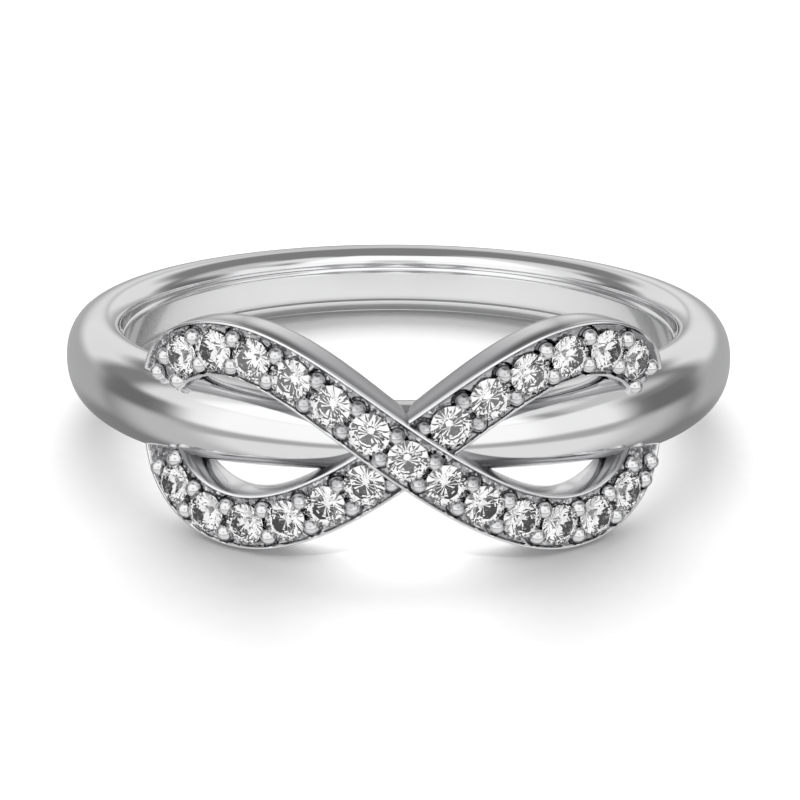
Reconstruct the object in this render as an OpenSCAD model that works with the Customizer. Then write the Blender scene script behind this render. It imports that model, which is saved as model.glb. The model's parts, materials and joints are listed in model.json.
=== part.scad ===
// A finger ring in white metal. A plain rounded band carries a figure eight of two ribbons at its front,
// set with a row of small round brilliants held by beads. The band and the ribbons are one casting.
//
// The ring is worked out in its own frame first: the finger goes along Z, the front faces -Y. Then it is
// laid down as it rests by itself, on the lower edges of the figure eight and on the back of the band.
// Angles along the band are counted from the front, and a positive one is on the wearer's +X side.

/* [Band] */
// Diameter of the finger hole
finger_d = 17.3; // [15:0.1:21]
// Thickness of the band at the front, from the finger outwards
band_t_front = 1.7; // [1.5:0.05:2.2]
// Thickness of the band at the back
band_t_back = 2; // [1.5:0.05:2.4]
// Width of the band at the front, along the finger
band_w_front = 1.95; // [1.6:0.05:2.4]
// Width of the band where it is widest
band_w_shoulder = 2.68; // [2:0.01:3.2]
// Width of the band at the back
band_w_back = 2.4; // [1.6:0.05:3]
// Angle from the front at which the band is widest
shoulder_angle = 58; // [50:1:140]
// Height of the flat wall that touches the finger
wall_h = 1.04; // [0.6:0.02:1.3]

/* [Figure eight] */
// Angle from the front to the outer end of each loop
loop_angle = 47; // [38:0.25:50]
// Height of each loop's centre line over the band's middle
loop_h = 2.4; // [2:0.01:2.8]
// Distance of the crossing below the band's middle
cross_drop = 0.22; // [0:0.01:0.3]
// Share of the fourth harmonic, which pulls the loops outwards
loop_fullness = 0.155; // [0:0.005:0.2]
// Width of the ribbon
ribbon_w = 1.68; // [1.2:0.01:1.8]
// Radius of the ribbon's face where it runs into the band
face_r_end = 9.75; // [9.6:0.05:10]
// Radius of the ribbon's face along the loops
face_r_loop = 10.4; // [10.2:0.05:10.6]
// Radius of the upper ribbon's face at the crossing
face_r_over = 10.89; // [10.7:0.01:11]
// Radius of the lower ribbon's face at the crossing
face_r_under = 10.63; // [10.5:0.01:10.8]
// Radius of the lower ribbon's back
back_r_under = 8.95; // [8.9:0.05:9.4]
// Radius of the upper ribbon's back
back_r_over = 9.05; // [9:0.05:9.5]

/* [Stones] */
// Diameter of a stone at its girdle
stone_d = 1.2; // [1:0.01:1.24]
// Distance from stone to stone along the upper ribbon
pitch_over = 1.3; // [1.2:0.005:1.4]
// Distance of the middle stone from the crossing, along the upper ribbon
first_over = 0.04; // [0:0.01:0.2]
// Distance from stone to stone along the lower ribbon
pitch_under = 1.33; // [1.25:0.005:1.4]
// Distance of the first stone from the crossing, along the lower ribbon
first_under = 1.48; // [1.4:0.01:1.6]
// Height of a stone's girdle over the ribbon's face
girdle_rise = 0.05; // [0:0.01:0.08]
// How far the stones sit below the middle of their ribbon.
stone_side = 0.04; // [0:0.01:0.08]
// Clear gap all round a stone
seat_gap = 0.02; // [0.015:0.005:0.04]

/* [Beads] */
// Diameter of a bead
bead_d = 0.5; // [0.4:0.01:0.55]
// Distance of a bead from the ribbon's centre line
bead_side = 0.425; // [0.34:0.005:0.46]

/* [Hidden] */
arm_stones = 6;
stone_count = 4 * arm_stones + 1;
metal_colour = "gainsboro";
stone_colour = "aliceblue";

finger_r = finger_d / 2;

// Proportions of a round brilliant, as shares of its girdle diameter
table_share = 0.56;
crown_share = 0.15;
girdle_share = 0.04;
pavilion_share = 0.42;

function stone_name(i) = str("stone_", i < 10 ? "0" : "", i);
function ease(x) = (1 - cos(180 * x)) / 2;
function unit(v) = v / norm(v);
function on_band(a, r, z) = [r * sin(a), -r * cos(a), z];

// The band's section. a is the angle from the front.

band_steps = 72;
outer_points = 12;
inner_points = 4;
outer_power = 2.2;
inner_power = 2.35;
crest_share = 0.42;
edge_step = 0.05;
bore_allowance = 0.3;

function band_w(a) =
    let (b = abs(a) > 180 ? 360 - abs(a) : abs(a))
    b < shoulder_angle
        ? band_w_front + (band_w_shoulder - band_w_front) * ease(b / shoulder_angle)
        : band_w_shoulder + (band_w_back - band_w_shoulder)
            * ease((b - shoulder_angle) / (180 - shoulder_angle));
function band_t(a) = band_t_front + (band_t_back - band_t_front) * ease(a / 180);
function crest_r(a) = finger_r + crest_share * band_t(a);
function power_cos(a, n) = sign(cos(a)) * pow(abs(cos(a)), 2 / n);
function power_sin(a, n) = sign(sin(a)) * pow(abs(sin(a)), 2 / n);

// [r, z] points from the crest of the lower shoulder round the outside to the crest of the upper shoulder
function outer_curve(a) = [
    for (i = [0:outer_points])
        let (s = -90 + 180 * i / outer_points)
        [crest_r(a) + (band_t(a) - crest_share * band_t(a)) * power_cos(s, outer_power),
         band_w(a) / 2 * power_sin(s, outer_power)]
];
// [r, z] points from the crest down to the step at the edge of the finger's wall
function shoulder_curve(a) = [
    for (i = [1:inner_points])
        let (s = 90 * i / inner_points, step_r = finger_r + edge_step, step_z = wall_h / 2 + edge_step)
        [crest_r(a) - (crest_r(a) - step_r) * pow(sin(s), 2 / inner_power),
         step_z + (band_w(a) / 2 - step_z) * power_cos(s, inner_power)]
];
// The wall itself is left short of the finger hole here, which is bored afterwards
function band_section(a) =
    let (upper = shoulder_curve(a), last = inner_points - 1, inside_r = finger_r - bore_allowance)
    concat(
        outer_curve(a),
        upper,
        [[finger_r + edge_step, wall_h / 2], [inside_r, wall_h / 2]],
        [[inside_r, -wall_h / 2], [finger_r + edge_step, -wall_h / 2]],
        [for (i = [last:-1:0]) [upper[i][0], -upper[i][1]]]
    );
function band_ring(a) = [for (p = band_section(a)) on_band(a, p[0], p[1])];
band_rings = [for (i = [0:band_steps - 1]) band_ring(360 * i / band_steps)];

// The ribbons' centre lines. t runs from -90 at one loop's end to 90 at the other, and side is 1 for the
// upper ribbon, which falls from left to right, and -1 for the lower one, which rises.

// How closely the face keeps to the crossing and to the ends where it changes height
rise_power = 10;
// Half of the span of t over which a ribbon's direction is taken
half_step = 0.5;

function face_r(t, side) =
    let (cross_r = side > 0 ? face_r_over : face_r_under)
    face_r_end + (face_r_loop - face_r_end) * (1 - pow(sin(t), rise_power))
        + (cross_r - face_r_loop) * pow(cos(t), rise_power);
function line_z(t, side) =
    -cross_drop * pow(cos(t), 4) - side * loop_h * (sin(2 * t) + loop_fullness * sin(4 * t));
function line_point(t, side) = on_band(loop_angle * sin(t), face_r(t, side), line_z(t, side));
function outward(t) = on_band(loop_angle * sin(t), 1, 0);
function along(t, side) = unit(line_point(t + half_step, side) - line_point(t - half_step, side));
function across(t, side) = unit(cross(outward(t), along(t, side)));
function upright(t, side) = cross(along(t, side), across(t, side));

// The ribbon's section, as [across, depth under the face as a share of the whole depth]

ribbon_steps = 60;
ribbon_end_t = 87;
ribbon_outline = [[-1, 0], [1, 0], [1, 0.6], [0.86, 0.86], [0.5, 1], [-0.5, 1], [-0.86, 0.86], [-1, 0.6]];

function ribbon_ring(t, side) =
    let (p = line_point(t, side), depth = face_r(t, side) - (side > 0 ? back_r_over : back_r_under))
    [for (q = ribbon_outline) p + across(t, side) * q[0] * ribbon_w / 2 - upright(t, side) * q[1] * depth];
function ribbon_rings(side) = [
    for (i = [0:ribbon_steps])
        ribbon_ring(-ribbon_end_t + 2 * ribbon_end_t * i / ribbon_steps, side)
];

// Places along a ribbon are lengths from the crossing, turned into t by a table of [length, t]

function length_table(side) =
    let (dt = 1, half = [
        for (t = 0, s = 0; t <= 90; s = s + norm(line_point(t + dt, side) - line_point(t, side)), t = t + dt)
            [s, t]
    ])
    concat([for (i = [len(half) - 1:-1:1]) -half[i]], half);
over_table = length_table(1);
under_table = length_table(-1);
function t_at(s, side) = lookup(s, side > 0 ? over_table : under_table);

over_places = [for (k = [-arm_stones:arm_stones]) first_over + k * pitch_over];
under_left = [for (k = [arm_stones - 1:-1:0]) -first_under - k * pitch_under];
under_right = [for (k = [0:arm_stones - 1]) first_under + k * pitch_under];
// [place, side] of each stone, upper ribbon first, from left to right
stone_seats = concat(
    [for (s = over_places) [s, 1]],
    [for (s = under_left) [s, -1]],
    [for (s = under_right) [s, -1]]
);

// Places half way between neighbouring stones, and one past each end of a row
function between(places, pitch) = concat(
    [places[0] - pitch / 2],
    [for (i = [0:len(places) - 2]) (places[i] + places[i + 1]) / 2],
    [places[len(places) - 1] + pitch / 2]
);
bead_places = concat(
    [for (s = between(over_places, pitch_over)) [s, 1]],
    [for (s = between(under_left, pitch_under)) [s, -1]],
    [for (s = between(under_right, pitch_under)) [s, -1]]
);

// The pose at rest: tilted until the lowest points at the front and at the back are level

function level(p, tilt) = p[2] * cos(tilt) - p[1] * sin(tilt);
function forward(p, tilt) = p[1] * cos(tilt) + p[2] * sin(tilt);
function lowest(points, tilt) = min([for (p = points) level(p, tilt)]);
loop_edge = [for (side = [-1, 1], ring = ribbon_rings(side)) each ring];
back_edge = [for (ring = band_rings, p = ring) if (p[1] > 0) p];
function solve_tilt(low, high, rounds) =
    let (mid = (low + high) / 2)
    rounds == 0 ? mid
        : lowest(loop_edge, mid) < lowest(back_edge, mid) ? solve_tilt(mid, high, rounds - 1)
        : solve_tilt(low, mid, rounds - 1);
tilt = solve_tilt(0, 20, 24);
floor_z = lowest(loop_edge, tilt);
table_rise = girdle_rise + (girdle_share / 2 + crown_share) * stone_d;
front_y = forward(on_band(0, face_r_over + table_rise, 0), tilt);
back_y = max([for (p = back_edge) forward(p, tilt)]);

module at_rest() {
    translate([0, -(front_y + back_y) / 2, -floor_z]) rotate([-tilt, 0, 0]) children();
}

// A closed skin over rings of points that all have the same length
module skin(rings, closed) {
    n = len(rings[0]);
    m = len(rings);
    sides = [
        for (i = [0:closed ? m - 1 : m - 2], j = [0:n - 1])
            let (a = i * n, b = ((i + 1) % m) * n, k = (j + 1) % n)
            each [[a + j, b + k, b + j], [a + j, a + k, b + k]]
    ];
    caps = closed ? [] : [[for (j = [n - 1:-1:0]) j], [for (j = [0:n - 1]) (m - 1) * n + j]];
    polyhedron(points = [for (ring = rings) each ring], faces = concat(sides, caps), convexity = 6);
}

// Moves what is drawn at the origin, +Z up, onto a ribbon's face at length s from the crossing
module on_ribbon(s, side, shift = 0) {
    t = t_at(s, side);
    x = along(t, side);
    y = across(t, side);
    z = upright(t, side);
    p = line_point(t, side) + y * shift;
    multmatrix([[x[0], y[0], z[0], p[0]], [x[1], y[1], z[1], p[1]], [x[2], y[2], z[2], p[2]]]) children();
}

// A round brilliant with its girdle's middle at the origin and its table up
module brilliant() {
    d = stone_d;
    g = girdle_share * d / 2;
    function ring(n, share, z, turn) = [
        for (i = [0:n - 1]) let (a = 360 * i / n + turn) [share * d / 2 * cos(a), share * d / 2 * sin(a), z]
    ];
    star_share = 0.8;
    star_level = 0.52;
    deep_share = 0.24;
    deep_level = 0.76;
    points = concat(
        ring(8, table_share, g + crown_share * d, 0),
        ring(8, star_share, g + crown_share * d * star_level, 22.5),
        ring(16, 1, g, 0),
        ring(16, 1, -g, 0),
        ring(8, deep_share, -g - pavilion_share * d * deep_level, 22.5),
        [[0, 0, -g - pavilion_share * d]]
    );
    table_at = 0;
    star_at = 8;
    top_at = 16;
    low_at = 32;
    deep_at = 48;
    culet = 56;
    faces = concat(
        [[for (i = [7:-1:0]) table_at + i]],
        [for (i = [0:7]) let (j = (i + 1) % 8) [table_at + i, table_at + j, star_at + i]],
        [for (i = [0:7]) let (h = (i + 7) % 8) each [
            [table_at + i, star_at + i, top_at + 2 * i],
            [table_at + i, top_at + 2 * i, star_at + h]
        ]],
        [for (i = [0:7]) each [
            [star_at + i, top_at + 2 * i + 1, top_at + 2 * i],
            [star_at + i, top_at + (2 * i + 2) % 16, top_at + 2 * i + 1]
        ]],
        [for (i = [0:15]) let (j = (i + 1) % 16) each [
            [top_at + i, top_at + j, low_at + j],
            [top_at + i, low_at + j, low_at + i]
        ]],
        [for (i = [0:7]) each [
            [low_at + 2 * i, low_at + 2 * i + 1, deep_at + i],
            [low_at + 2 * i + 1, low_at + (2 * i + 2) % 16, deep_at + i]
        ]],
        [for (i = [0:7]) let (h = (i + 7) % 8) each [
            [low_at + 2 * i, deep_at + i, culet],
            [low_at + 2 * i, culet, deep_at + h]
        ]]
    );
    polyhedron(points = points, faces = faces, convexity = 2);
}

// The room that a stone takes out of the metal, a gap larger than the stone all round
module seat() {
    r = stone_d / 2 + seat_gap;
    g = girdle_share * stone_d / 2 + seat_gap;
    table_r = table_share * stone_d / 2 + seat_gap;
    rotate_extrude($fn = 32) polygon([
        [0, -g - pavilion_share * stone_d - seat_gap],
        [r, -g],
        [r, g],
        [table_r, g + crown_share * stone_d],
        [table_r, g + crown_share * stone_d + bead_d],
        [0, g + crown_share * stone_d + bead_d]
    ]);
}

module band() skin(band_rings, true);

module ribbon(side) skin(ribbon_rings(side), false);

module beads() {
    for (b = bead_places, shift = [-bead_side, bead_side])
        on_ribbon(b[0], b[1], shift) sphere(d = bead_d, $fn = 16);
}

module ring_metal() {
    color(metal_colour) at_rest() difference() {
        union() {
            band();
            ribbon(1);
            ribbon(-1);
            beads();
        }
        translate([0, 0, -band_w_shoulder]) cylinder(r = finger_r, h = 2 * band_w_shoulder, $fn = 180);
        for (s = stone_seats) on_ribbon(s[0], s[1], -stone_side) translate([0, 0, girdle_rise]) seat();
    }
}

module stone(i) {
    color(stone_colour) at_rest()
        on_ribbon(stone_seats[i - 1][0], stone_seats[i - 1][1], -stone_side)
            translate([0, 0, girdle_rise]) brilliant();
}

ring_metal();
for (i = [1:stone_count]) stone(i);
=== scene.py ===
# %% [markdown]
# A finger ring lies on its side on a pale surface. The ring is one casting in polished white metal, a plain
# band whose front carries a figure eight of two ribbons, and a row of small brilliants runs along the
# ribbons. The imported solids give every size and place. A jeweller's eye goes to what they leave out, which
# is the fine step inside the band, the cut face of the ribbons, the polished beads and the light in it all.
# So this script rebuilds the metal as fine surfaces of the same form, keeps the stones, and lights them.

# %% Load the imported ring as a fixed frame
import json
import math

import bpy
import numpy as np
from mathutils import Matrix


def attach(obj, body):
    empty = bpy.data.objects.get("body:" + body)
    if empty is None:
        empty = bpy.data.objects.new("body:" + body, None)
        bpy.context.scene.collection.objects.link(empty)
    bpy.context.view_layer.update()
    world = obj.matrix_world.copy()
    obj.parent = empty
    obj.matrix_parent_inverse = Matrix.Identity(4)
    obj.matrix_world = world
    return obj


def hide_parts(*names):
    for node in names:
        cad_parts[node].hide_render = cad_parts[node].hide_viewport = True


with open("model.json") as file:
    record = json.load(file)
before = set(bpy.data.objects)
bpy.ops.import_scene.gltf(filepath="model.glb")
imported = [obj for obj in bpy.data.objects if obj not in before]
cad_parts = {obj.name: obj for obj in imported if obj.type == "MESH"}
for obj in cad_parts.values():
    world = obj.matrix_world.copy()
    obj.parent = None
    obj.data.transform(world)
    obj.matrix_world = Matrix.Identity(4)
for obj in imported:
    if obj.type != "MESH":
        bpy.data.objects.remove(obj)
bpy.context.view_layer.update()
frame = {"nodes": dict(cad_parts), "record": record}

# %% [markdown]
# The ring is easiest to describe in its own frame, with the finger along Z and the front facing -Y, in
# millimetres. At rest it leans a little, because the figure eight reaches lower than the band. The record
# says where the finger hole is and how its axis leans, and that is all that is needed to lay the ring down.

# %% Read the lean and the centre of the finger hole
hole = frame["record"]["mounts"][0]
ring_centre = np.array(hole["pos_m"])
lean = math.atan2(hole["axis"][1], hole["axis"][2])
finger_radius = hole["dims"]["r_mm"]
print("finger radius", finger_radius, "mm, lean", round(math.degrees(lean), 2), "degrees")


def lay_down(points):
    """Turns points about X by the lean, makes millimetres metres and moves all to the ring's centre."""
    x, y, z = points[..., 0], points[..., 1], points[..., 2]
    back = y * math.cos(lean) + z * math.sin(lean)
    up = z * math.cos(lean) - y * math.sin(lean)
    return np.stack([x, back, up], axis=-1) / 1000 + ring_centre


# %% [markdown]
# A product photographer stands well back with a long lens, so the ring keeps its proportions. The camera
# here has the photograph's angle to the ring. Its place is given by an angle over the ring's own plane and
# a distance, and a slight turn and roll, and it is carried to the floor's frame by the same lean.

# %% Set up the camera
camera_distance = 0.078558
camera_angle = math.radians(15.15)
camera_turn = math.radians(1.36)
camera_roll = math.radians(0.396)
camera_back = camera_distance * math.cos(camera_angle)
camera_up = camera_distance * math.sin(camera_angle)

camera_data = bpy.data.cameras.new("camera")
camera = bpy.data.objects.new("camera", camera_data)
bpy.context.collection.objects.link(camera)
bpy.context.scene.camera = camera
camera_data.sensor_width = 36
camera_data.lens = 110.94
camera_data.shift_x = 0.00165
camera_data.shift_y = -0.0647
camera_data.clip_start = 0.001
camera.matrix_world = (
    Matrix.Translation(ring_centre)
    @ Matrix.Rotation(-lean, 4, "X")
    @ Matrix.Rotation(-camera_turn, 4, "Z")
    @ Matrix.Translation((0, -camera_back, camera_up))
    @ Matrix.Rotation(math.pi / 2 - camera_angle, 4, "X")
    @ Matrix.Rotation(camera_roll, 4, "Z")
)
print("camera at", [round(v, 4) for v in camera.matrix_world.translation])

# %% [markdown]
# Every metal surface here is a grid of points with rows and columns, computed with numpy. One helper turns
# such a grid into a mesh. It joins the last row or column to the first where the surface closes on itself,
# and puts a cap on each open end. The sign of the enclosed volume says whether the faces point outwards.

# %% A helper that makes a closed mesh from a grid of points


def signed_volume(points, triangles):
    """Sums the volumes of the tetrahedra from the origin to each triangle."""
    a, b, c = (points[triangles[:, i]] for i in range(3))
    return np.einsum("ij,ij->i", a, np.cross(b, c)).sum() / 6


def mesh_from_grids(name, grids, close_rows, sharp_degrees=35):
    """Makes one closed mesh of grids whose columns join round, and whose rows join round or get caps."""
    corners, quads, caps, start = [], [], [], 0
    for grid in grids:
        rows, columns = grid.shape[:2]
        index = start + np.arange(rows * columns).reshape(rows, columns)
        below = np.roll(index, -1, axis=0) if close_rows else index[1:]
        above = index if close_rows else index[:-1]
        beside_above, beside_below = np.roll(above, -1, axis=1), np.roll(below, -1, axis=1)
        quads.append(np.stack([above, beside_above, beside_below, below], axis=-1).reshape(-1, 4))
        if not close_rows:
            caps += [index[0][::-1].tolist(), index[-1].tolist()]
        corners.append(lay_down(grid.reshape(-1, 3)))
        start += rows * columns
    points, quads = np.concatenate(corners), np.concatenate(quads)
    triangles = np.concatenate([quads[:, [0, 1, 2]], quads[:, [0, 2, 3]]])
    if signed_volume(points, triangles) < 0:
        quads = quads[:, ::-1]
        caps = [cap[::-1] for cap in caps]
    mesh = bpy.data.meshes.new(name)
    mesh.from_pydata(points.tolist(), [], quads.tolist() + caps)
    mesh.shade_smooth()
    mesh.set_sharp_from_angle(angle=math.radians(sharp_degrees))
    piece = bpy.data.objects.new(name, mesh)
    bpy.context.collection.objects.link(piece)
    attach(piece, "root")
    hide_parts("ring_metal")
    print(name, len(quads) * 2, "triangles")
    return piece


def smooth_step(x):
    """Rises from 0 to 1 as x does, level at both ends and flat outside them."""
    x = np.clip(x, 0, 1)
    return x * x * (3 - 2 * x)


# %% [markdown]
# The figure eight is two ribbons that wave up and down as they go round the front. One falls from left to
# right and passes over, and the other rises and passes under. Each has a centre line, and at each point of
# it three directions: along the ribbon, across it, and upright from its face. The stones, their seats and
# the beads are all placed by a length along such a line, as a setter would step them off with dividers.

# %% Centre lines of the two ribbons
loop_angle, loop_height, loop_fullness, cross_drop = 47, 2.4, 0.155, 0.22
face_end, face_loop, face_over, face_under = 9.75, 10.4, 10.89, 10.63
ribbon_width = 1.68
rise_power = 10


def on_band(angle, radius, height):
    """The point at an angle in degrees from the front, a radius from the finger's axis and a height."""
    turn = np.radians(angle)
    return np.stack(np.broadcast_arrays(radius * np.sin(turn), -radius * np.cos(turn), height), axis=-1)


def face_radius(t, side):
    """Rises from the end to the loop, and again to the crossing, by a high power of sine and cosine."""
    crossing = face_over if side > 0 else face_under
    sine, cosine = np.sin(np.radians(t)), np.cos(np.radians(t))
    loop_rise = (face_loop - face_end) * (1 - sine**rise_power)
    return face_end + loop_rise + (crossing - face_loop) * cosine**rise_power


def line_height(t, side):
    """A sine of twice t with some of the fourth harmonic, and a small drop at the crossing."""
    wave = np.sin(np.radians(2 * t)) + loop_fullness * np.sin(np.radians(4 * t))
    return -cross_drop * np.cos(np.radians(t)) ** 4 - side * loop_height * wave


def line_point(t, side):
    """A point of a ribbon's centre line, for t from -90 at the left end to 90 at the right end."""
    return on_band(loop_angle * np.sin(np.radians(t)), face_radius(t, side), line_height(t, side))


def unit(vectors):
    """Vectors of the same direction and of length one."""
    return vectors / np.linalg.norm(vectors, axis=-1, keepdims=True)


def ribbon_frame(t, side):
    """Point, along, across and upright at t, where across is square to the line and to the way out."""
    outward = on_band(loop_angle * np.sin(np.radians(t)), 1, np.zeros_like(t))
    along = unit(line_point(t + 0.5, side) - line_point(t - 0.5, side))
    across = unit(np.cross(outward, along))
    return line_point(t, side), along, across, np.cross(along, across)


def line_lengths(side):
    """Lengths from the crossing for each whole degree of t, summed from short chords."""
    degrees = np.arange(0, 92.0)
    steps = np.linalg.norm(np.diff(line_point(degrees, side), axis=0), axis=1)
    lengths = np.concatenate([[0], np.cumsum(steps)])
    return np.concatenate([-lengths[:0:-1], lengths]), np.concatenate([-degrees[:0:-1], degrees])


length_tables = {side: line_lengths(side) for side in (1, -1)}
half_lengths = [np.interp(90, degrees, lengths) for lengths, degrees in length_tables.values()]
print("half lengths of the ribbons", [round(float(length), 2) for length in half_lengths])

# %% [markdown]
# The stones are stepped off at one distance along each ribbon, from the crossing outwards, and the upper
# ribbon has one right on the crossing. They sit a hair below the middle of their ribbon, as in the photo.

# %% Places of the stones along the ribbons
stone_size, stone_side = 1.2, 0.04
first_over, pitch_over = 0.04, 1.3
first_under, pitch_under = 1.48, 1.33
arm_stones = 6

over_places = first_over + pitch_over * np.arange(-arm_stones, arm_stones + 1)
under_right = first_under + pitch_under * np.arange(arm_stones)
under_left = -under_right[::-1]


def frames_at(places, side):
    """Ribbon frames at lengths from the crossing."""
    lengths, degrees = length_tables[side]
    return ribbon_frame(np.interp(places, lengths, degrees), side)


def joined(*groups):
    """Frames of several rows as one."""
    return [np.concatenate(parts) for parts in zip(*groups)]


stone_frames = joined(frames_at(over_places, 1), frames_at(under_left, -1), frames_at(under_right, -1))
stone_frames[0] = stone_frames[0] - stone_side * stone_frames[2]
print(len(stone_frames[0]), "stones")

# %% [markdown]
# A stone sits in a cone that a setting bur has cut, so the metal's surface dips there. On a grid this is a
# move of points: whatever lies within the seat's rim and over the cone comes down to the cone. Points close
# to the rim are first drawn onto it, which keeps its circle crisp on a grid that isn't round.

# %% Cut the seats into any surface
girdle_rise, girdle_half, seat_gap = 0.05, 0.022, 0.03
pavilion_share = 0.42
seat_radius = stone_size / 2 + seat_gap
seat_top = girdle_rise - girdle_half - seat_gap
seat_slope = 2 * pavilion_share
seat_reach = 1.2


def cut_seats(points, snap=0.0):
    """Lowers points inside each seat to a cone, whose depth grows evenly from its rim to its middle."""
    for p, along, across, upright in zip(*stone_frames):
        away = points - p
        x, y, z = away @ along, away @ across, away @ upright
        distance = np.hypot(x, y)
        near = (distance < seat_radius + snap) & (np.abs(z) < seat_reach)
        at_rim = near & (distance > seat_radius - snap)
        pull = np.where(at_rim, seat_radius / np.maximum(distance, 1e-6) - 1, 0)
        points = points + pull[..., None] * (x[..., None] * along + y[..., None] * across)
        cone = seat_top - seat_slope * (seat_radius - np.minimum(distance, seat_radius))
        drop = np.where(near & (distance <= seat_radius) & (z > cone), cone - z, 0)
        points = points + drop[..., None] * upright
    return points


# %% [markdown]
# The band is a comfort fit: a rounded outside, rounded shoulders that lead down to a narrow flat wall, and
# two fine steps where the wall begins. It is slim at the front, widest at the shoulders and thickest at the
# back. One section is a closed row of points, and the section changes slowly with the angle round the
# finger. Superellipses give the full, soft outline of a cast and polished shank.

# %% Section of the band
front_width, shoulder_width, back_width, shoulder_angle = 1.95, 2.68, 2.4, 58
front_thickness, back_thickness, crest_share = 1.7, 2.0, 0.42
wall_half = 1.04 / 2
outer_power, inner_power = 2 / 2.2, 2 / 2.35
ledge_depth, ledge_width, fine_edge = 0.035, 0.075, 0.008


def ease(x):
    """Half a cosine wave from 0 to 1."""
    return (1 - np.cos(np.pi * x)) / 2


def band_width(angle):
    """Width along the finger: front to shoulder and shoulder to back, each joined by half a wave."""
    b = np.where(angle > 180, 360 - angle, angle)
    near = front_width + (shoulder_width - front_width) * ease(b / shoulder_angle)
    past_shoulder = (b - shoulder_angle) / (180 - shoulder_angle)
    far = shoulder_width + (back_width - shoulder_width) * ease(past_shoulder)
    return np.where(b < shoulder_angle, near, far)


def band_thickness(angle):
    """Thickness from the finger outwards, from the front to the back by half a wave."""
    return front_thickness + (back_thickness - front_thickness) * ease(angle / 180)


def power(x, exponent):
    """A power that keeps the sign."""
    return np.sign(x) * np.abs(x) ** exponent


def band_section(angle):
    """Radius and height of the outside, shoulder, steps and wall, with a row for each angle."""
    half, thick = band_width(angle) / 2, band_thickness(angle)
    crest = finger_radius + crest_share * thick
    s = np.radians(np.linspace(-90, 90, 73))
    outside_r = crest + (1 - crest_share) * thick * np.abs(np.cos(s)) ** outer_power
    outside_z = half * power(np.sin(s), outer_power)
    q = np.radians(np.linspace(0, 90, 25)[1:])
    top_r = finger_radius + 2 * ledge_depth
    top_z = wall_half + ledge_depth / 2 + ledge_width
    shoulder_r = crest - (crest - top_r) * np.sin(q) ** inner_power
    shoulder_z = top_z + (half - top_z) * np.cos(q) ** inner_power
    steps_r = finger_radius + np.array([ledge_depth + fine_edge, ledge_depth, fine_edge, 0])
    steps_z = wall_half + np.array([ledge_width, ledge_width - fine_edge, ledge_depth / 2, 0])
    wall_z = wall_half * np.linspace(1, -1, 9)[1:-1]
    column = np.ones_like(angle)
    rise_r = np.concatenate([shoulder_r, steps_r * column], axis=1)
    rise_z = np.concatenate([shoulder_z, steps_z * column], axis=1)
    wall = np.full((len(angle), len(wall_z)), finger_radius)
    radius = np.concatenate([outside_r, rise_r, wall, rise_r[:, ::-1]], axis=1)
    height = np.concatenate([outside_z * column, rise_z, wall_z * column, -rise_z[:, ::-1]], axis=1)
    return radius, height


# %% [markdown]
# Behind the figure eight the band's surface is hidden inside the ribbons, and the stones' points reach
# below it. There the surface is sunk, so that nothing cuts through a clear stone. A point counts as hidden
# when it is nearer to a ribbon's centre line than the ribbon's edge is, and the ribbon's face is over it.

# %% Build the band
band_angles = np.linspace(0, 360, 720, endpoint=False)[:, None]
ribbon_reach = loop_angle + 8
hidden_half, face_margin, sunk_depth, soft_edge = ribbon_width / 2 - 0.06, 0.08, 0.62, 0.1
least_wall = 0.5
covering_t = np.linspace(-86, 86, 345)


def sink_under_ribbons(angle, radius, height):
    """Lowers the radius to well below the ribbon's face wherever a ribbon covers the band."""
    signed = np.where(angle > 180, angle - 360, angle)
    front = np.abs(signed[:, 0]) < ribbon_reach
    across_band = np.radians(signed[front]) * face_loop + 0 * radius[front]
    for side in (1, -1):
        line_x = np.radians(loop_angle * np.sin(np.radians(covering_t))) * face_loop
        line_z = line_height(covering_t, side)
        gap = np.hypot(across_band[..., None] - line_x, height[front][..., None] - line_z)
        nearest = gap.argmin(axis=-1)
        distance = np.take_along_axis(gap, nearest[..., None], -1)[..., 0]
        face = face_radius(covering_t, side)[nearest]
        hidden = smooth_step((hidden_half - distance) / soft_edge)
        hidden = hidden * smooth_step((face - face_margin - radius[front]) / soft_edge)
        hidden = hidden * (radius[front] > finger_radius + least_wall)
        lowered = np.minimum(radius[front], face - sunk_depth)
        radius[front] = radius[front] + (lowered - radius[front]) * hidden
    return radius


band_radius, band_height = band_section(band_angles)
band_radius = sink_under_ribbons(band_angles, band_radius, band_height)
band_points = cut_seats(on_band(band_angles, band_radius, band_height))
band = mesh_from_grids("band", [band_points], close_rows=True, sharp_degrees=30)

# %% [markdown]
# A setter cuts the ribbon's face with a graver: a thin bright rim stays along each edge, and the field
# between the rims lies a little lower and is left with many small flat cuts that sparkle. Here the field is
# a net of small tilted planes. Each point takes the plane of the nearest of a jittered net of centres.

# %% The cut field


def scatter(i, j, seed):
    """A fixed number between 0 and 1 for each pair of whole numbers, from a large sine's last digits."""
    return np.modf(np.abs(np.sin(i * 127.1 + j * 311.7 + seed * 74.7)) * 43758.5453)[0]


def small_cuts(u, v, size, seed):
    """Height of tilted planes, one round each centre of a jittered square net, by the nearest centre."""
    column, row = np.floor(u / size), np.floor(v / size)
    best = np.full(u.shape, np.inf)
    height = np.zeros(u.shape)
    for i in (-1, 0, 1):
        for j in (-1, 0, 1):
            a, b = column + i, row + j
            du = u / size - (a + scatter(a, b, seed))
            dv = v / size - (b + scatter(a, b, seed + 1))
            gap = du * du + dv * dv
            plane = (scatter(a, b, seed + 2) - 0.5) * du + (scatter(a, b, seed + 3) - 0.5) * dv
            plane = plane + 0.5 * (scatter(a, b, seed + 4) - 0.5)
            height = np.where(gap < best, plane, height)
            best = np.minimum(best, gap)
    return height


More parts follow.
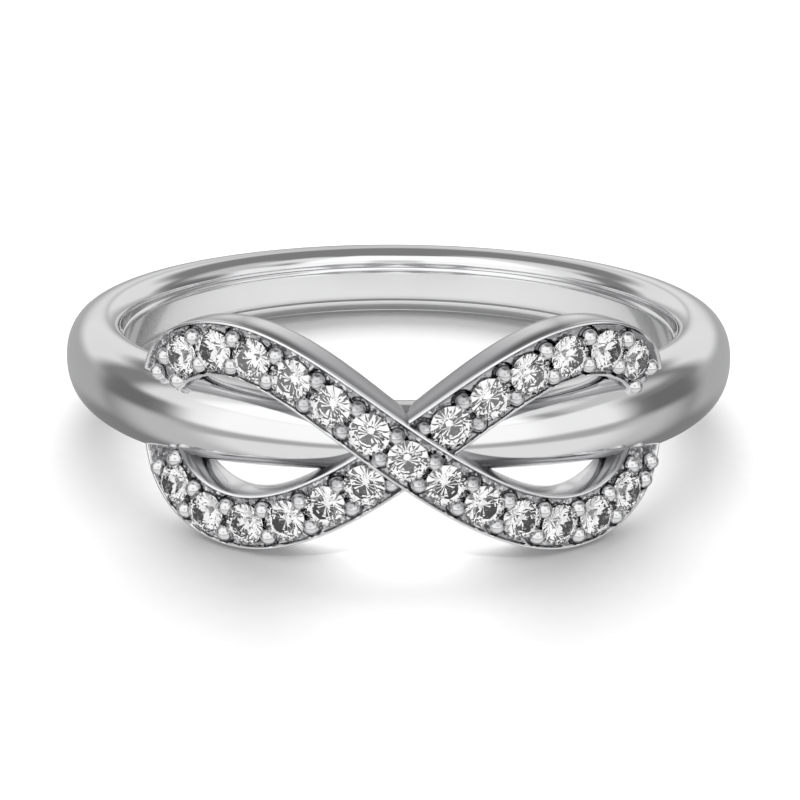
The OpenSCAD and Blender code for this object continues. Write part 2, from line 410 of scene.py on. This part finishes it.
# %% [markdown]
# Beads hold the stones, a pair at each gap, and at the ends of the loops a few single ones that the photo
# shows where the ribbons run into the band. Each is given by its length along the ribbon and its distance
# from the centre line. The lower ribbon has one more pair on each side of the crossing.

# %% Places of the beads
bead_high, bead_low = 0.36, -0.41


def bead_places(row, ends):
    """A pair at each gap inside a row, and the row's own few at its ends, as lengths and sides."""
    gaps = row[1:] - (row[1] - row[0]) / 2
    pairs = [(gap, shift) for gap in gaps for shift in (bead_high, bead_low)]
    return pairs + ends


left_over = [(-8.5, 0.22), (-8.5, -0.58), (-9.25, 0.14)]
right_over = [(8.52, 0.36), (8.6, -0.44), (9.15, -0.44)]
left_under = [(-8.9, -0.38), (-8.65, 0.46)]
right_under = [(9.1, 0.24), (8.84, -0.6)]
by_crossing = [(place, shift) for place in (-0.83, 0.83) for shift in (bead_high, bead_low)]
beads_by_side = {
    1: bead_places(over_places, left_over + right_over),
    -1: bead_places(under_left, left_under) + bead_places(under_right, right_under) + by_crossing,
}
print([len(places) for places in beads_by_side.values()], "beads on the two ribbons")

# %% [markdown]
# A ribbon's section is the cut face, a small round along each edge, polished side walls, and a rounded back
# that is sunk in the band. The section is carried along the centre line in even steps. Round each bead the
# setter has cut a little moat, which shows as a dark crescent, so the face dips there too.

# %% Section of a ribbon
ribbon_backs = {1: 9.05, -1: 8.95}
edge_round, wall_inset, wall_rise = 0.045, 0.04, 0.35
wall_start, wall_end = 0.05, 0.42
back_power, back_shrink = 2.4, 0.5


def section_below_face():
    """Half widths, and drops in millimetres and as shares of the depth, from one edge to the other."""
    turn = np.radians(np.linspace(0, 90, 6))
    half = ribbon_width / 2
    edge_x = 1 - (wall_inset + edge_round * (1 - np.sin(turn))) / half
    edge_drop = edge_round * (1 - np.cos(turn))
    wall = np.linspace(wall_start, wall_end, 6)
    wall_x = 1 - wall_inset / half * np.clip(1 - wall / wall_rise, 0, 1) ** 2
    curve = np.radians(np.linspace(0, 90, 11)[1:])
    back_x = 1 - back_shrink * (1 - (1 - np.sin(curve) ** back_power) ** (1 / back_power))
    back = wall_end + (1 - wall_end) * np.sin(curve)
    x = np.concatenate([edge_x, wall_x, back_x])
    drop = np.concatenate([edge_drop, np.full(len(wall) + len(back), edge_round)])
    share = np.concatenate([0 * edge_x, wall, back])
    both_sides = ((x, -1), (drop, 1), (share, 1))
    return [np.concatenate([values, sign * values[::-1]]) for values, sign in both_sides]


# %% [markdown]
# On the face the graver has left smooth rims and a rough cut field, and the stones sit in cut seats. A mesh
# attribute carries the share of each to the material. A rough share blurs the mirror and lifts its grain.
# The
# dark is painted shade: a painted shade share halves the brightness, and the cut field carries it except on
# its high cuts, which stay bright as painted glints. A deep shade share paints the seats nearly black, as
# the shade under the stones. The right arm of the lower ribbon is calmer than the others, so its cuts fade
# out past the crossing.

# %% Relief and finish of the face
rim_width, rim_slope = 0.075, 0.05
rim_height, field_drop = 0.015, 0.06
cut_size, cut_height, cut_seed = 0.12, 0.07, 3
calm_from, calm_over, calm_share = 1.2, 0.6, 0.8
glint_from, glint_over, glint_share = 0.005, 0.012, 0.9
moat_radius, moat_depth, moat_slope = 0.33, 0.14, 0.06


def face_relief(lengths, x, side):
    """Rims along the edges, the lower cut field between them, and shares of rough metal and of painted
    shade.
    """
    half = ribbon_width / 2
    rim = smooth_step((np.abs(x) - (half - wall_inset - rim_width - rim_slope)) / rim_slope)
    calm = smooth_step((lengths - calm_from) / calm_over) if side < 0 else 0 * lengths
    lively = 1 - calm_share * calm
    cuts = cut_height * lively * small_cuts(lengths, x, cut_size, cut_seed + side)
    # The cut field gets painted shade, except on its high cuts, which stay bright as painted glints.
    high_cuts = smooth_step((cuts - glint_from) / glint_over)
    rough = (1 - rim) * lively
    painted_shade = (1 - rim) * (1 - glint_share * high_cuts * lively)
    return rim_height * rim + (cuts - field_drop) * (1 - rim), rough, painted_shade


def cut_moats(relief, lengths, x, side):
    """Lowers the face by the depth of a moat within a circle round each bead."""
    for place, shift in beads_by_side[side]:
        gap = np.hypot(lengths - place, x - shift)
        relief = relief - moat_depth * smooth_step((moat_radius - gap) / moat_slope)
    return relief


# %% [markdown]
# The lower ribbon's face would come through the upper one at the crossing, so it is sunk there, where the
# upper ribbon covers it.

# %% The crossing
crossing_half, crossing_slope = 1.35, 0.1
cover_half, crossing_depth = 0.62, 0.45
crossing_t = np.linspace(-20, 20, 81)


def gap_to_upper_line(points):
    """Distance of points from the upper ribbon's centre line, seen from outside the band."""
    line = line_point(crossing_t, 1)
    angle = np.arctan2(points[..., 0], -points[..., 1]) * face_over
    line_angle = np.arctan2(line[:, 0], -line[:, 1]) * face_over
    gap = np.full(points.shape[:2], np.inf)
    for a, z in zip(line_angle, line[:, 2]):
        gap = np.minimum(gap, np.hypot(angle - a, points[..., 2] - z))
    return gap


def sink_at_crossing(face, lengths, upright):
    """Lowers the face near the crossing wherever the upper ribbon's middle is close."""
    near = smooth_step((crossing_half - np.abs(lengths)) / crossing_slope)
    covered = smooth_step((cover_half - gap_to_upper_line(face)) / crossing_slope)
    return face - upright * (crossing_depth * near * covered)[..., None]


# %% [markdown]
# The side walls are polished, but they stand close to each other and to the band, so they look darker than
# open metal would be: most of all just behind the rims, towards the crossing, and inside the lower openings
# near the loops' ends. That shade is painted into the walls' colour, as painted shade and deep shade shares.

# %% Build the ribbons
ribbon_rows, face_columns, end_degrees = 760, 63, 87
rim_snap, least_cut = 0.012, 0.02
shade_until, shade_over = 6.0, 3.6
rim_shade_over = 0.35
corner_from, corner_over = 7.2, 1.2
crossing_rough, crossing_shade, crossing_deep_shade = 0.7, 0.95, 0.2
rim_deep_shade, corner_deep_shade = 0.65, 0.8


def wall_shares(lengths, x, share, side):
    """Rough share and painted shade shares of the walls, from smooth steps along the ribbon and down the
    wall.
    """
    on_wall = (share > 0) * np.ones_like(lengths)
    towards_crossing = smooth_step((shade_until - np.abs(lengths)) / shade_over) * on_wall
    behind_rim = (1 - smooth_step((share - wall_start) / rim_shade_over)) * on_wall
    corner = smooth_step((np.abs(lengths) - corner_from) / corner_over) * (side * lengths > 0) * (x > 0)
    # Painted shade behind the rims, towards the crossing and in the corners near the loops' ends.
    deep_shade = np.maximum(rim_deep_shade * behind_rim, crossing_deep_shade * towards_crossing)
    deep_shade = np.maximum(corner_deep_shade * corner, deep_shade)
    return crossing_rough * towards_crossing, crossing_shade * towards_crossing, deep_shade


def write_shares(piece, rough, painted_shade, deep_shade):
    """Keeps one number a point for each share, where the material finds it by its name."""
    for name, values in (("rough_share", rough), ("painted_shade_share", painted_shade), ("deep_shade_share", deep_shade)):
        layer = piece.data.attributes.new(name, "FLOAT", "POINT")
        layer.data.foreach_set("value", np.asarray(values, dtype=float).ravel())


def ribbon(name, side):
    """Carries the section along the line, with the relief, moats and seats, and closes both ends."""
    low, high = np.interp([-end_degrees, end_degrees], length_tables[side][1], length_tables[side][0])
    lengths = np.linspace(low, high, ribbon_rows)[:, None]
    p, along, across, upright = (part[:, None, :] for part in frames_at(lengths[:, 0], side))
    half = ribbon_width / 2
    face_half = half - edge_round - wall_inset
    face_x = np.linspace(-face_half, face_half, face_columns)[None, 1:-1]
    relief, rough, painted_shade = face_relief(lengths, face_x, side)
    relief = cut_moats(relief, lengths, face_x, side)
    face = p + across * face_x[..., None] + upright * relief[..., None]
    if side < 0:
        face = sink_at_crossing(face, lengths, upright)
    uncut, face = face, cut_seats(face, snap=rim_snap)
    # Where the seats cut the face, the metal is painted nearly black, as the shade under the stones.
    deep_shade = np.linalg.norm(face - uncut, axis=-1) > least_cut
    x, drop, share = section_below_face()
    depth = face_radius(np.interp(lengths, *length_tables[side]), side) - ribbon_backs[side]
    below = rim_height - drop - share * (depth - edge_round + rim_height)
    rest = p + across * (x * half)[None, :, None] + upright * below[..., None]
    whole = np.concatenate([face, rest], axis=1)
    piece = mesh_from_grids(name, [whole], close_rows=False, sharp_degrees=25)
    on_face, on_walls = (rough, painted_shade, deep_shade), wall_shares(lengths, x, share, side)
    write_shares(piece, *(np.concatenate(pair, axis=1) for pair in zip(on_face, on_walls)))
    return piece


upper_ribbon = ribbon("upper_ribbon", 1)
lower_ribbon = ribbon("lower_ribbon", -1)

# %% [markdown]
# Each stone is held by beads, which the setter raises from the metal and rounds off with a cup tool, so
# they are small polished domes. Here a bead is a slightly long ball that stands in its moat and leans over
# the edges of the two stones beside it. All the beads are one mesh, made from one grid and its frames. Every
# bead is painted a little darker as shade, and near the crossing its upper side is painted darker still, as
# the shade of the wall behind it.

# %% Build the beads
bead_rows, bead_columns = 17, 32
bead_half_along, bead_half_across, bead_half_up = 0.25, 0.255, 0.29
bead_sink, covered_sink, covered_size = 0.02, 0.06, 0.92
least_bead_shade, extra_bead_shade = 0.15, 0.8
upper_from, upper_over = -0.15, 0.5
bead_shade_until, bead_shade_over = 5, 3


def bead_grid(p, along, across, upright, size):
    """Half axes times the sine and cosine of two angles, from just off one pole to just off the other."""
    polar = np.radians(np.linspace(2, 178, bead_rows))[:, None]
    turn = np.radians(np.linspace(0, 360, bead_columns, endpoint=False))[None, :]
    x = size * bead_half_along * np.sin(polar) * np.cos(turn)
    y = size * bead_half_across * np.sin(polar) * np.sin(turn)
    z = size * bead_half_up * np.cos(polar) + 0 * turn
    return p + x[..., None] * along + y[..., None] * across + z[..., None] * upright


bead_grids, bead_shades = [], []
for side, places in beads_by_side.items():
    lengths = np.array([place for place, shift in places])
    for p, along, across, upright, (place, shift) in zip(*frames_at(lengths, side), places):
        covered = side < 0 and abs(place) < 1
        centre = p + shift * across - (covered_sink if covered else bead_sink) * upright
        grid = bead_grid(centre, along, across, upright, covered_size if covered else 1)
        height = (grid - centre) @ across / bead_half_across
        upper_side = smooth_step((height - upper_from) / upper_over)
        near_crossing = smooth_step((bead_shade_until - abs(place)) / bead_shade_over)
        bead_grids.append(grid)
        # Painted shade: a little on every bead, more on the upper side near the crossing.
        bead_shades.append(least_bead_shade + extra_bead_shade * upper_side * near_crossing)
beads = mesh_from_grids("beads", bead_grids, close_rows=False, sharp_degrees=60)
none = np.zeros_like(bead_shades)
write_shares(beads, none, bead_shades, none)
print(len(bead_grids), "beads")

# %% [markdown]
# White gold and plated silver are polished until they mirror the room, so their colour is mostly that of
# the room, a little dimmed. What makes such a metal look real is small: a slow waviness left by the
# polishing wheel, fine hairlines, and a gloss that varies a little from place to place. All of these are
# noise in millimetres on the object's own coordinates. The set metal is the same, with the rough share of
# its surfaces and its painted shade laid over it.

# %% Helpers for materials


def node_adder(tree):
    """A function that adds a node to a tree, sets its values and links the sockets that it is given."""

    def add(kind, inputs=(), **settings):
        node = tree.nodes.new("ShaderNode" + kind)
        for key, value in settings.items():
            setattr(node, key, value)
        for key, value in dict(inputs).items():
            if isinstance(value, bpy.types.NodeSocket):
                tree.links.new(value, node.inputs[key])
            else:
                node.inputs[key].default_value = value
        return node

    return add


def new_material(name):
    """A material with a Principled shader and an output, its node tree and what adds nodes to it."""
    material = bpy.data.materials.new(name)
    material.use_nodes = True
    tree = material.node_tree
    tree.nodes.clear()
    shader = tree.nodes.new("ShaderNodeBsdfPrincipled")
    output = tree.nodes.new("ShaderNodeOutputMaterial")
    tree.links.new(shader.outputs["BSDF"], output.inputs["Surface"])
    return material, shader, tree, node_adder(tree)


def noise_in_mm(add, size, detail, stretch=(1, 1, 1)):
    """Noise on object coordinates whose features are about size millimetres across."""
    place = add("TexCoord")
    scale = [1000 / size * s for s in stretch]
    mapping = add("Mapping", {"Vector": place.outputs["Object"], "Scale": scale})
    return add("TexNoise", {"Vector": mapping.outputs["Vector"], "Scale": 1.0, "Detail": detail})


def spread(add, noise, low, high):
    """Stretches the middle of a noise to the range from low to high."""
    ends = {"From Min": 0.3, "From Max": 0.7, "To Min": low, "To Max": high}
    return add("MapRange", {"Value": noise.outputs["Fac"], **ends}).outputs["Result"]


# %% Polished white metal, plain and with shares
dark_tint, light_tint = (0.80, 0.80, 0.81, 1), (0.86, 0.86, 0.865, 1)
# The two darker tints are painted shade: one halves the brightness, the other makes the metal nearly black.
painted_shade_tint, deep_shade_tint = (0.5, 0.5, 0.51, 1), (0.15, 0.15, 0.16, 1)
plain_grain, extra_grain, extra_roughness = 0.03, 0.4, 0.13
wave_strength, wave_depth, grain_depth = 0.1, 0.00004, 0.00001


def white_metal(name, with_shares):
    """Metal whose tint, roughness and bump follow noise and, where asked, the shares of its piece."""
    material, shader, tree, add = new_material(name)
    cloud = noise_in_mm(add, 2.5, 2.0)
    grain = noise_in_mm(add, 0.06, 3.0, (1, 1, 6))
    wave = noise_in_mm(add, 1.6, 1.0)
    tint = add("Mix", data_type="RGBA")
    tint.inputs["A"].default_value = dark_tint
    tint.inputs["B"].default_value = light_tint
    tree.links.new(cloud.outputs["Fac"], tint.inputs["Factor"])
    colour = tint.outputs["Result"]
    roughness = spread(add, cloud, 0.06, 0.11)
    wheel = {"Strength": wave_strength, "Distance": wave_depth}
    slow = add("Bump", {"Height": wave.outputs["Fac"], **wheel})
    strength = plain_grain
    if with_shares:
        rough = add("Attribute", attribute_name="rough_share").outputs["Fac"]
        blur = {0: rough, 1: extra_roughness, 2: roughness}
        roughness = add("Math", blur, operation="MULTIPLY_ADD").outputs[0]
        lift = {0: rough, 1: extra_grain, 2: plain_grain}
        strength = add("Math", lift, operation="MULTIPLY_ADD").outputs[0]
        # Each shade share darkens the colour as painted shade.
        for share_name, shade in (("painted_shade_share", painted_shade_tint), ("deep_shade_share", deep_shade_tint)):
            share = add("Attribute", attribute_name=share_name).outputs["Fac"]
            darker = add("Mix", data_type="RGBA", blend_type="MULTIPLY")
            darker.inputs["B"].default_value = shade
            tree.links.new(share, darker.inputs["Factor"])
            tree.links.new(colour, darker.inputs["A"])
            colour = darker.outputs["Result"]
    tree.links.new(colour, shader.inputs["Base Color"])
    on_slow = {"Normal": slow.outputs["Normal"], "Strength": strength, "Distance": grain_depth}
    fine = add("Bump", {"Height": grain.outputs["Fac"], **on_slow})
    tree.links.new(roughness, shader.inputs["Roughness"])
    tree.links.new(fine.outputs["Normal"], shader.inputs["Normal"])
    shader.inputs["Metallic"].default_value = 1.0
    return material


band.data.materials.append(white_metal("polished_white_metal", False))
set_metal = white_metal("cut_white_metal_painted_shade", True)
for piece in (beads, upper_ribbon, lower_ribbon):
    piece.data.materials.append(set_metal)
print("metal dressed")

# %% [markdown]
# A brilliant is clear, and all its light comes from flat facets that bend and mirror what is around it. So
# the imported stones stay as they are, with their true facets, and get a clear material with the high
# refraction of zirconia. A trace of haze on the facets, which wear and skin leave, keeps them from looking
# like empty glass.

# %% Clear stones


def clear_stone():
    """Colourless, strongly refracting, with a very slight haze that varies over the stone."""
    material, shader, tree, add = new_material("clear_brilliant")
    haze = noise_in_mm(add, 0.4, 2.0)
    tree.links.new(spread(add, haze, 0.0, 0.02), shader.inputs["Roughness"])
    shader.inputs["Base Color"].default_value = (1, 1, 1, 1)
    shader.inputs["IOR"].default_value = 2.3
    shader.inputs["Transmission Weight"].default_value = 1.0
    return material


brilliant = clear_stone()
for name, node in frame["nodes"].items():
    if name.startswith("stone"):
        for slot in node.material_slots:
            slot.material = brilliant
print("stones dressed")

# %% [markdown]
# The table is a sheet of white paper, so far over-lit that only the shadow next to the ring shows. It is
# part of the stage and not of the ring.

# %% Lay the paper
paper_half, fibre_contrast = 0.45, 0.015
paper_corners = [(x * paper_half, y * paper_half, 0) for x, y in ((-1, -1), (1, -1), (1, 1), (-1, 1))]
paper_mesh = bpy.data.meshes.new("paper")
paper_mesh.from_pydata(paper_corners, [], [(0, 1, 2, 3)])
paper = bpy.data.objects.new("paper", paper_mesh)
bpy.context.collection.objects.link(paper)


def paper_of(name, grey):
    """Matte paper of one grey, with the faint cloud of its fibres."""
    material, shader, tree, add = new_material(name)
    fibre = noise_in_mm(add, 0.5, 4.0)
    tint = add("Mix", data_type="RGBA")
    tint.inputs["A"].default_value = 3 * (grey - fibre_contrast,) + (1,)
    tint.inputs["B"].default_value = 3 * (grey + fibre_contrast,) + (1,)
    tree.links.new(fibre.outputs["Fac"], tint.inputs["Factor"])
    tree.links.new(tint.outputs["Result"], shader.inputs["Base Color"])
    shader.inputs["Roughness"].default_value = 0.9
    shader.inputs["Specular IOR Level"].default_value = 0.1
    return material


paper_mesh.materials.append(paper_of("white_paper", 0.82))

# %% [markdown]
# Three round cards are seen by the ring alone. Two lie on the paper inside the ring, because the inside of
# the band mirrors the floor there. Both are painted shade, greyer than the paper: the lower one is as dark
# as the paper in the ring's own shadow, and the upper, lighter one stands a little to the front, so a thin
# dark edge shows at the back. A black card stands before the lens, as the dark camera does in a real studio,
# and only the stones pick it up. Without it a brilliant in white light has no dark facets and looks like
# milk.

# %% Cards that only the ring sees


def round_card(name, radius, place, material):
    """A disc that casts no shadow and that the camera doesn't see."""
    turn = np.radians(np.arange(0, 360, 5))
    flat = [radius * np.cos(turn), radius * np.sin(turn), 0 * turn, np.ones_like(turn)]
    rim = np.stack(flat, axis=-1) @ np.array(place).T
    mesh = bpy.data.meshes.new(name)
    mesh.from_pydata(rim[:, :3].tolist(), [], [list(range(len(turn)))])
    disc = bpy.data.objects.new(name, mesh)
    bpy.context.collection.objects.link(disc)
    mesh.materials.append(material)
    disc.visible_camera = False
    disc.visible_shadow = False
    disc.visible_diffuse = False
    return disc


card_lift, card_shift = 0.000003, 0.0009
on_floor = Matrix.Translation((ring_centre[0], ring_centre[1], card_lift))
round_card("shaded_card", 0.0086, on_floor, paper_of("shaded_card", 0.4))
on_that_card = Matrix.Translation((ring_centre[0], ring_centre[1] - card_shift, 2 * card_lift))
round_card("inner_card", 0.0083, on_that_card, paper_of("grey_card", 0.6))
before_lens = camera.matrix_world @ Matrix.Translation((0, 0, -0.015))
lens_card = round_card("lens_card", 0.019, before_lens, paper_of("black_card", 0.02))
lens_card.visible_glossy = False
print("three cards that only the ring sees")

# %% [markdown]
# Polished metal shows its surroundings, so the light is built as surroundings: large white cards in front,
# a low one behind, and darker gaps between them. The gaps draw the lines that let the eye read a mirror's
# shape. All of it is one sky whose brightness depends on direction alone, as a card's does from far away.
# A direction is read as an azimuth, 0 to the front and 90 to the right, and an elevation over the horizon.

# %% Helpers for the sky
world = bpy.data.worlds.new("studio")
bpy.context.scene.world = world
world.use_nodes = True
sky = world.node_tree
sky.nodes.clear()
sky_node = node_adder(sky)


def sky_math(operation, *values):
    """One step of arithmetic in the sky."""
    return sky_node("Math", dict(enumerate(values)), operation=operation).outputs[0]


def window(value, low, high, soft):
    """1 between low and high and 0 outside, with a smooth step of the given width centred on each end."""
    steps = []
    for end, before, after in ((low, 0.0, 1.0), (high, 1.0, 0.0)):
        reach = {"From Min": end - soft / 2, "From Max": end + soft / 2, "To Min": before, "To Max": after}
        step = sky_node("MapRange", {"Value": value, **reach}, interpolation_type="SMOOTHSTEP")
        steps.append(step.outputs["Result"])
    return sky_math("MULTIPLY", *steps)


def card(under, azimuths, elevations, softness, grey, both_sides=False):
    """Lays a card of one grey over what is under it, between two azimuths and two elevations in degrees."""
    across = window(size_of_azimuth if both_sides else azimuth, *azimuths, softness[0])
    upwards = window(elevation, *elevations, softness[1])
    mask = sky_math("MULTIPLY", across, upwards)
    return sky_node("Mix", {"Factor": mask, "A": under, "B": grey}, data_type="FLOAT").outputs["Result"]


direction = sky_node("SeparateXYZ", {"Vector": sky_node("TexCoord").outputs["Generated"]}).outputs
ahead = sky_math("MULTIPLY", direction["Y"], -1.0)
azimuth = sky_math("MULTIPLY", sky_math("ARCTAN2", direction["X"], ahead), 57.2958)
size_of_azimuth = sky_math("ABSOLUTE", azimuth)
elevation = sky_math("MULTIPLY", sky_math("ARCSINE", direction["Z"]), 57.2958)

# %% [markdown]
# The cards are laid in order, each over the ones before it. Below the horizon they stand for the paper as
# the ring mirrors it: mid grey behind, a dark core at the sides that turns the shoulders round, and white in
# front with one grey line above it, which runs along the band. Over the horizon come a low card behind for
# the ribbons' walls and the band's far edge, two cards on each side for the shoulders, and the big front
# cards that make the band and the rims white. A greyer patch in their middle is where the camera stands.

# %% Lay the cards
light = 0.24
light = card(light, (119, 181), (-28, 4), (14, 12), 0.45, both_sides=True)
light = card(light, (88, 114), (-20, 10), (12, 8), 0.17, both_sides=True)
light = card(light, (70, 110), (-91, -14), (30, 8), 0.56, both_sides=True)
light = card(light, (-72, 82), (-91, -20), (26, 10), 0.86)
light = card(light, (-72, 72), (-21, -13), (20, 6), 0.45)
light = card(light, (128, 181), (2, 29), (16, 12), 0.84, both_sides=True)
light = card(light, (-125, -95), (38, 74), (16, 14), 0.75)
light = card(light, (-100, -70), (8, 74), (14, 10), 0.85)
light = card(light, (60, 112), (20, 58), (20, 12), 0.62)
light = card(light, (40, 85), (44, 70), (20, 10), 0.85)
light = card(light, (-78, 80), (-12, 28), (16, 6), 0.98)
light = card(light, (-66, 46), (-12, 28), (16, 6), 1.14)
light = card(light, (-78, 50), (28, 76), (16, 5), 1.2)
light = card(light, (-12, 12), (10, 36), (8, 10), 0.75)
background = sky_node("Background", {"Color": light, "Strength": 1.0})
sky_node("OutputWorld", {"Surface": background.outputs["Background"]})
bpy.context.scene.view_settings.view_transform = "Standard"
print(len(sky.nodes), "nodes in the sky")

# %% [markdown]
# The sky alone would leave the paper grey. A large soft lamp over the back of the ring brings it to white
# and gives the ring its soft shadow towards the viewer. In the photo that shadow parts in the middle, so a
# narrow spot from the front lights the paper just under the crossing. The metal mirrors neither lamp nor
# paper: it has its cards above, and below the horizon the sky has the paper's brightness.

# %% Light the paper


def add_light(name, kind, place, aim, **settings):
    """A light behind the ring or before it, at a height, tipped about X to aim at a place on the paper."""
    data = bpy.data.lights.new(name, kind)
    for key, value in settings.items():
        setattr(data, key, value)
    lamp = bpy.data.objects.new(name, data)
    bpy.context.collection.objects.link(lamp)
    behind, height = place
    lamp.location = (0, behind, height)
    lamp.rotation_euler = (math.atan2(aim - behind, height), 0, 0)
    lamp.visible_glossy = False
    print(name, "at", place)


add_light("soft_lamp", "AREA", place=(0.25, 0.25), aim=0, shape="DISK", size=0.44, energy=2.2)
narrow = {"spot_size": math.radians(2.6), "spot_blend": 1.0, "shadow_soft_size": 0.001}
add_light("narrow_spot", "SPOT", place=(-0.135, 0.16), aim=-0.0115, energy=0.65, **narrow)
paper.visible_glossy = False
